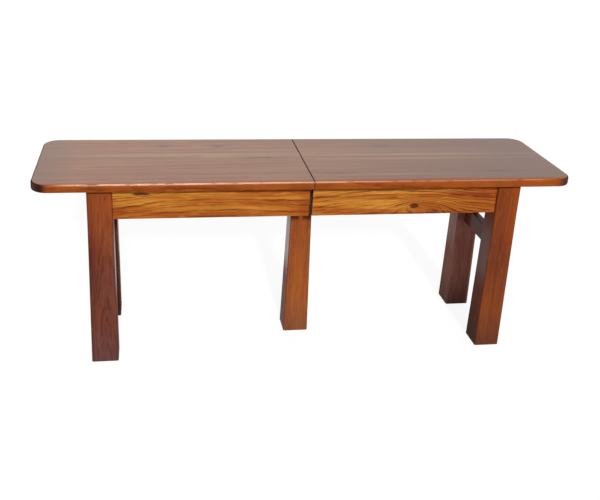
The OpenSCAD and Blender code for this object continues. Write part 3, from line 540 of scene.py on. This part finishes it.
def wood_screw(head, thick, length, recess):
    """A screw with its point down and its head's top at the height 0.

    head is the outline of the head from there down, and recess the arm, width and depth of its cross, both
    in thicknesses of the screw.
    """
    sheet = bmesh.new()
    head = [(radius * thick, height * thick) for radius, height in head]
    core = thick * 0.36
    plain = core * 1.12
    neck = head[-1][1]
    shank = neck - (length + neck) * 0.3
    lathe(sheet, [*head, (plain, neck), (plain, shank), (core, shank - 0.1 * thick), (core, -length),
                  (0.0, -length)])
    sink_recess(sheet, *(size * thick for size in recess))
    wind_thread(sheet, core, thick / 2, -length, shank, thick * 0.45)
    sharpen(sheet, -length + thick * 1.5, -length - thick * 0.15)
    return finished(sheet, "wood_screw", -length)


def seats(name):
    """Where the fasteners of a CAD node sit: the middle of each head's top, and its axis from the point.

    The head is the wider end. On a plain rod it is the end nearer the middle of the bench.
    """
    sheet = bmesh.new()
    sheet.from_mesh(nodes[name].data)
    bmesh.ops.remove_doubles(sheet, verts=sheet.verts, dist=1e-6)
    seen = set()
    for first in sheet.verts:
        if first in seen:
            continue
        solid, front = [first], [first]
        seen.add(first)
        while front:
            corner = front.pop()
            for edge in corner.link_edges:
                other = edge.other_vert(corner)
                if other not in seen:
                    seen.add(other)
                    solid.append(other)
                    front.append(other)
        middle = sum((corner.co for corner in solid), Vector()) / len(solid)
        reaches = [corner.co - middle for corner in solid]
        axis = max(reaches, key=lambda reach: reach.length)
        for _ in range(40):  # each round turns it closer to the line that the corners lie along
            axis = sum((reach.dot(axis) * reach for reach in reaches), Vector()).normalized()
        heights = [reach.dot(axis) for reach in reaches]
        ends = []
        for end in (max(heights), min(heights)):
            ring = [corner.co for corner, height in zip(solid, heights) if abs(height - end) < 2e-5]
            centre = sum(ring, Vector()) / len(ring)
            ends.append((max((co - centre).length for co in ring), centre, end))
        wide, narrow = sorted(ends, key=lambda item: (-round(item[0], 5), item[1].xy.length))
        yield wide[1], axis if wide[2] > narrow[2] else -axis
    sheet.free()


def fit_fasteners(name, body, mesh, material, turn=1.1):
    """Sets the mesh at every seat of a CAD node, each turned further, and lets the whole stand for it."""
    sheet = bmesh.new()
    for count, (top, axis) in enumerate(seats(name)):
        before = set(sheet.verts)
        sheet.from_mesh(mesh)
        place = Matrix.Translation(top) @ Vector((0, 0, 1)).rotation_difference(axis).to_matrix().to_4x4()
        place = place @ Matrix.Rotation(turn * count, 4, "Z")
        added = [corner for corner in sheet.verts if corner not in before]
        bmesh.ops.transform(sheet, matrix=place, verts=added)
    whole = bpy.data.meshes.new("threaded_" + name)
    sheet.to_mesh(whole)
    sheet.free()
    whole.shade_smooth()
    whole.set_sharp_from_angle(angle=radians(32))
    whole.materials.append(material)
    piece = bpy.data.objects.new("threaded_" + name, whole)
    bpy.context.scene.collection.objects.link(piece)
    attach(piece, body)
    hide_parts(name)


pan_thick = 0.004
pan_high = 0.6
pan_head = [(0.48, 0.0), (0.72, -0.02), (0.93, -0.13), (1.05, -0.36), (1.05, -pan_high), (0.4, -pan_high)]
pan_recess = (0.46, 0.10, 0.45)
for use, length in (("slide_screws", 0.040), ("apron_screws", 0.032), ("corner_screws", 0.022)):
    pan_screw = wood_screw(pan_head, pan_thick, length + pan_high * pan_thick, pan_recess)
    for half in ("left", "right"):
        fit_fasteners(use + "_" + half, half, pan_screw, steel.material)

# Flat-head screws
# Six long ones come up through the block over the centre leg into the two centre rails, and two short
# ones hold each rack against its rail. Their heads lie flush in countersunk holes.


def flat_screw(thick, length):
    head = [(0.55, 0.0), (0.97, 0.0), (0.96, -0.04), (0.5, -0.5)]
    return wood_screw(head, thick, length, (0.52, 0.10, 0.42))


fit_fasteners("centre_block_screws", "centre", flat_screw(0.004, 0.045), steel.material)
for half in ("left", "right"):
    fit_fasteners("rack_screws_" + half, half, flat_screw(0.003, 0.012), steel.material)

# Lag screws
# Two zinc-plated lags run down through the block into the end grain of the centre leg. Their hexagon heads
# are chamfered and sunk into the top of the block.

lag_across, lag_high, lag_thick, lag_long = 0.011, 0.005, 0.0065, 0.063
lag_core = lag_thick * 0.37
lag_face = lag_across / 2 * 0.94
lag_corner = lag_across / sqrt(3)
lag_chamfer, chamfer_slope = 0.001, 0.577
lag_thread, lag_pitch = -0.027, 0.0032
lag_tip = -lag_high - lag_long
lag = bmesh.new()
lathe(lag, [(0.0, 0.0), (lag_face, 0.0), (lag_corner, -lag_chamfer), (lag_corner, -lag_high),
            (lag_thick / 2, -lag_high), (lag_thick / 2, lag_thread + 0.001), (lag_core, lag_thread),
            (lag_core, lag_tip), (0.0, lag_tip)], steps=48)
for corner in lag.verts:
    if corner.co.xy.length > lag_face + 1e-6:
        off_flat = (degrees(atan2(corner.co.y, corner.co.x)) + 30) % 60 - 30
        reach = lag_across / 2 / cos(radians(30 - abs(off_flat)))
        corner.co.xy = corner.co.xy.normalized() * reach
        if corner.co.z > -2 * lag_chamfer:
            corner.co.z = -(reach - lag_face) * chamfer_slope
wind_thread(lag, lag_core, lag_thick / 2, lag_tip, lag_thread, lag_pitch)
sharpen(lag, lag_tip + 0.010, lag_tip - 0.001)
lag_mesh = finished(lag, "lag_screw", lag_tip)
fit_fasteners("centre_leg_lags", "centre", lag_mesh, steel.material, turn=0.0)

# Hanger bolts
# One in each corner pulls the leg against its block: a coarse wood thread in the leg, a fine one for the
# nut, and a plain middle, on one zinc-plated rod with a chamfer at the nut and a blunt point in the leg.

hanger_thick, hanger_long, hanger_fine = 0.008, 0.0625, 0.0305
hanger_core = hanger_thick * 0.41
hanger_plain = hanger_thick / 2 * 0.93
hanger_wood = hanger_core * 0.9
fine_pitch, wood_pitch = 0.00125, 0.0030
rod = bmesh.new()
lathe(rod, [(0.0, 0.0), (hanger_core * 0.8, 0.0), (hanger_core, -0.0008), (hanger_core, -hanger_fine + 0.002),
            (hanger_plain, -hanger_fine + 0.0015), (hanger_plain, -hanger_fine - 0.003),
            (hanger_wood, -hanger_fine - 0.0035), (hanger_wood, -hanger_long), (0.0, -hanger_long)])
wind_thread(rod, hanger_core, hanger_thick / 2, -hanger_fine + 0.0015, -0.0003, fine_pitch)
wind_thread(rod, hanger_wood, hanger_thick / 2, -hanger_long, -hanger_fine - 0.003, wood_pitch)
sharpen(rod, -hanger_long + 0.008, -hanger_long - 0.002)
rod_mesh = finished(rod, "hanger_bolt", -hanger_long)
for half in ("left", "right"):
    fit_fasteners("hanger_bolts_" + half, half, rod_mesh, steel.material)

# Seam locks
# A swing hook by the seam at the front and one at the back, their plates, the stud plates across from them
# and their screws are solid brass, with fine brushed lines and patches that have gone dull.

brass = Finish("brass", Metallic=1.0)
x, y, z = brass.parts("Object")
dull = brass.noise(brass.point(x * 90.0, y * 90.0, z * 90.0), detail=4.0, roughness=0.6)
lines = brass.noise(brass.point(x * 40.0, y * 40.0, z * 1600.0), detail=1.0)
gilt = brass.blend(dull.between(0.35, 0.75), rgb("#d3a54f"), rgb("#9a7434"))
brass.feed(Base_Color=gilt, Roughness=0.24 + dull * 0.22,
           Normal=brass.node("Bump", Strength=0.08, Distance=0.0001, Height=lines))
dress([name for name in nodes if name.startswith("lock_") and "screws" not in name], brass.material)
for half in ("left", "right"):
    fit_fasteners("lock_screws_" + half, half, flat_screw(0.003, 0.014), brass.material)

# Camera
# It stands left of the middle, above the seat, as the photograph's did. Its place, axes and lens come from
# a fit of the bench's edges to the edges in the photograph.

camera_place = Vector((-0.3653, -1.8415, 1.0871))
camera_right = Vector((0.98863, -0.14453, 0.04146))
camera_ahead = Vector((0.14961, 0.91809, -0.36705))
focal_pixels = 819.75
image_width = 600
sensor_width = 36
camera = bpy.data.cameras.new("camera")
camera.sensor_width = sensor_width
camera.lens = focal_pixels / image_width * sensor_width
camera.shift_x = 0.0435
camera.shift_y = -0.0834
camera_object = bpy.data.objects.new("camera", camera)
up = camera_right.cross(camera_ahead)
camera_object.matrix_world = Matrix.Translation(camera_place) @ Matrix(
    (camera_right, up, -camera_ahead)).transposed().to_4x4()
bpy.context.scene.collection.objects.link(camera_object)
bpy.context.scene.camera = camera_object

# Light, floor and backdrop
# A key from straight in front, 28 degrees up, has two parts, and only the weaker one shows in the varnish.
# A weak broad light comes from behind, and the pale studio fills the rest. Floor and backdrop look white
# and are white in reflections. The floor keeps a soft shadow, and is clear from below.


def sun(name, source, strength, softness, mirrored=True):
    light = bpy.data.lights.new(name, "SUN")
    light.energy = strength
    light.angle = softness
    holder = bpy.data.objects.new(name, light)
    holder.rotation_mode = "QUATERNION"
    holder.rotation_quaternion = Vector(source).to_track_quat("Z", "Y")
    holder.visible_glossy = mirrored
    bpy.context.scene.collection.objects.link(holder)


key_from, key_softness = (0.01, -0.90, 0.47), 0.07
sun("key", key_from, 1.62, key_softness, mirrored=False)
sun("key_shine", key_from, 0.78, key_softness)
sun("back_fill", (0.25, 0.75, 0.35), 0.6, 0.8, mirrored=False)


def seen_white(tree):
    """1 on the rays that show the backdrop itself: camera, glossy and transmission rays."""
    path = tree.nodes.new("ShaderNodeLightPath")
    seen = Term(tree, path.outputs["Is Camera Ray"])
    for other in ("Is Glossy Ray", "Is Transmission Ray"):
        seen = seen.at_least(Term(tree, path.outputs[other]))
    return seen


world = bpy.data.worlds.new("studio")
world.use_nodes = True
bpy.context.scene.world = world
backdrop = world.node_tree.nodes["Background"]
backdrop.inputs["Color"].default_value = (1, 1, 1, 1)
studio_fill = 0.30
strength = studio_fill + seen_white(world.node_tree) * (1 - studio_fill)
put(world.node_tree, backdrop.inputs["Strength"], strength)

floor_reach = 40.0
floor_mesh = bpy.data.meshes.new("floor")
sheet = bmesh.new()
bmesh.ops.create_grid(sheet, x_segments=1, y_segments=1, size=floor_reach)
sheet.to_mesh(floor_mesh)
sheet.free()
floor = bpy.data.objects.new("floor", floor_mesh)
bpy.context.scene.collection.objects.link(floor)
paint = Finish("pale_floor", Base_Color=(0.55, 0.55, 0.55, 1), Roughness=1.0, Specular_IOR_Level=0.0)
shown = paint.node("BsdfPrincipled", Base_Color=(0.17, 0.17, 0.17, 1), Roughness=1.0, Specular_IOR_Level=0.0,
                   Emission_Color=(1, 1, 1, 1), Emission_Strength=0.90)
clear = paint.node("BsdfTransparent")
below = paint.node("NewGeometry", output="Backfacing")
surface = Term(paint.tree, paint.shader.outputs[0])
for factor, other in ((seen_white(paint.tree), shown), (below, clear)):
    mixed = paint.tree.nodes.new("ShaderNodeMixShader")
    for socket, value in zip(mixed.inputs, (factor, surface, other)):
        put(paint.tree, socket, value)
    surface = Term(paint.tree, mixed.outputs[0])
put(paint.tree, paint.tree.nodes["Material Output"].inputs["Surface"], surface)
floor_mesh.materials.append(paint.material)

bpy.context.scene.view_settings.view_transform = "Standard"
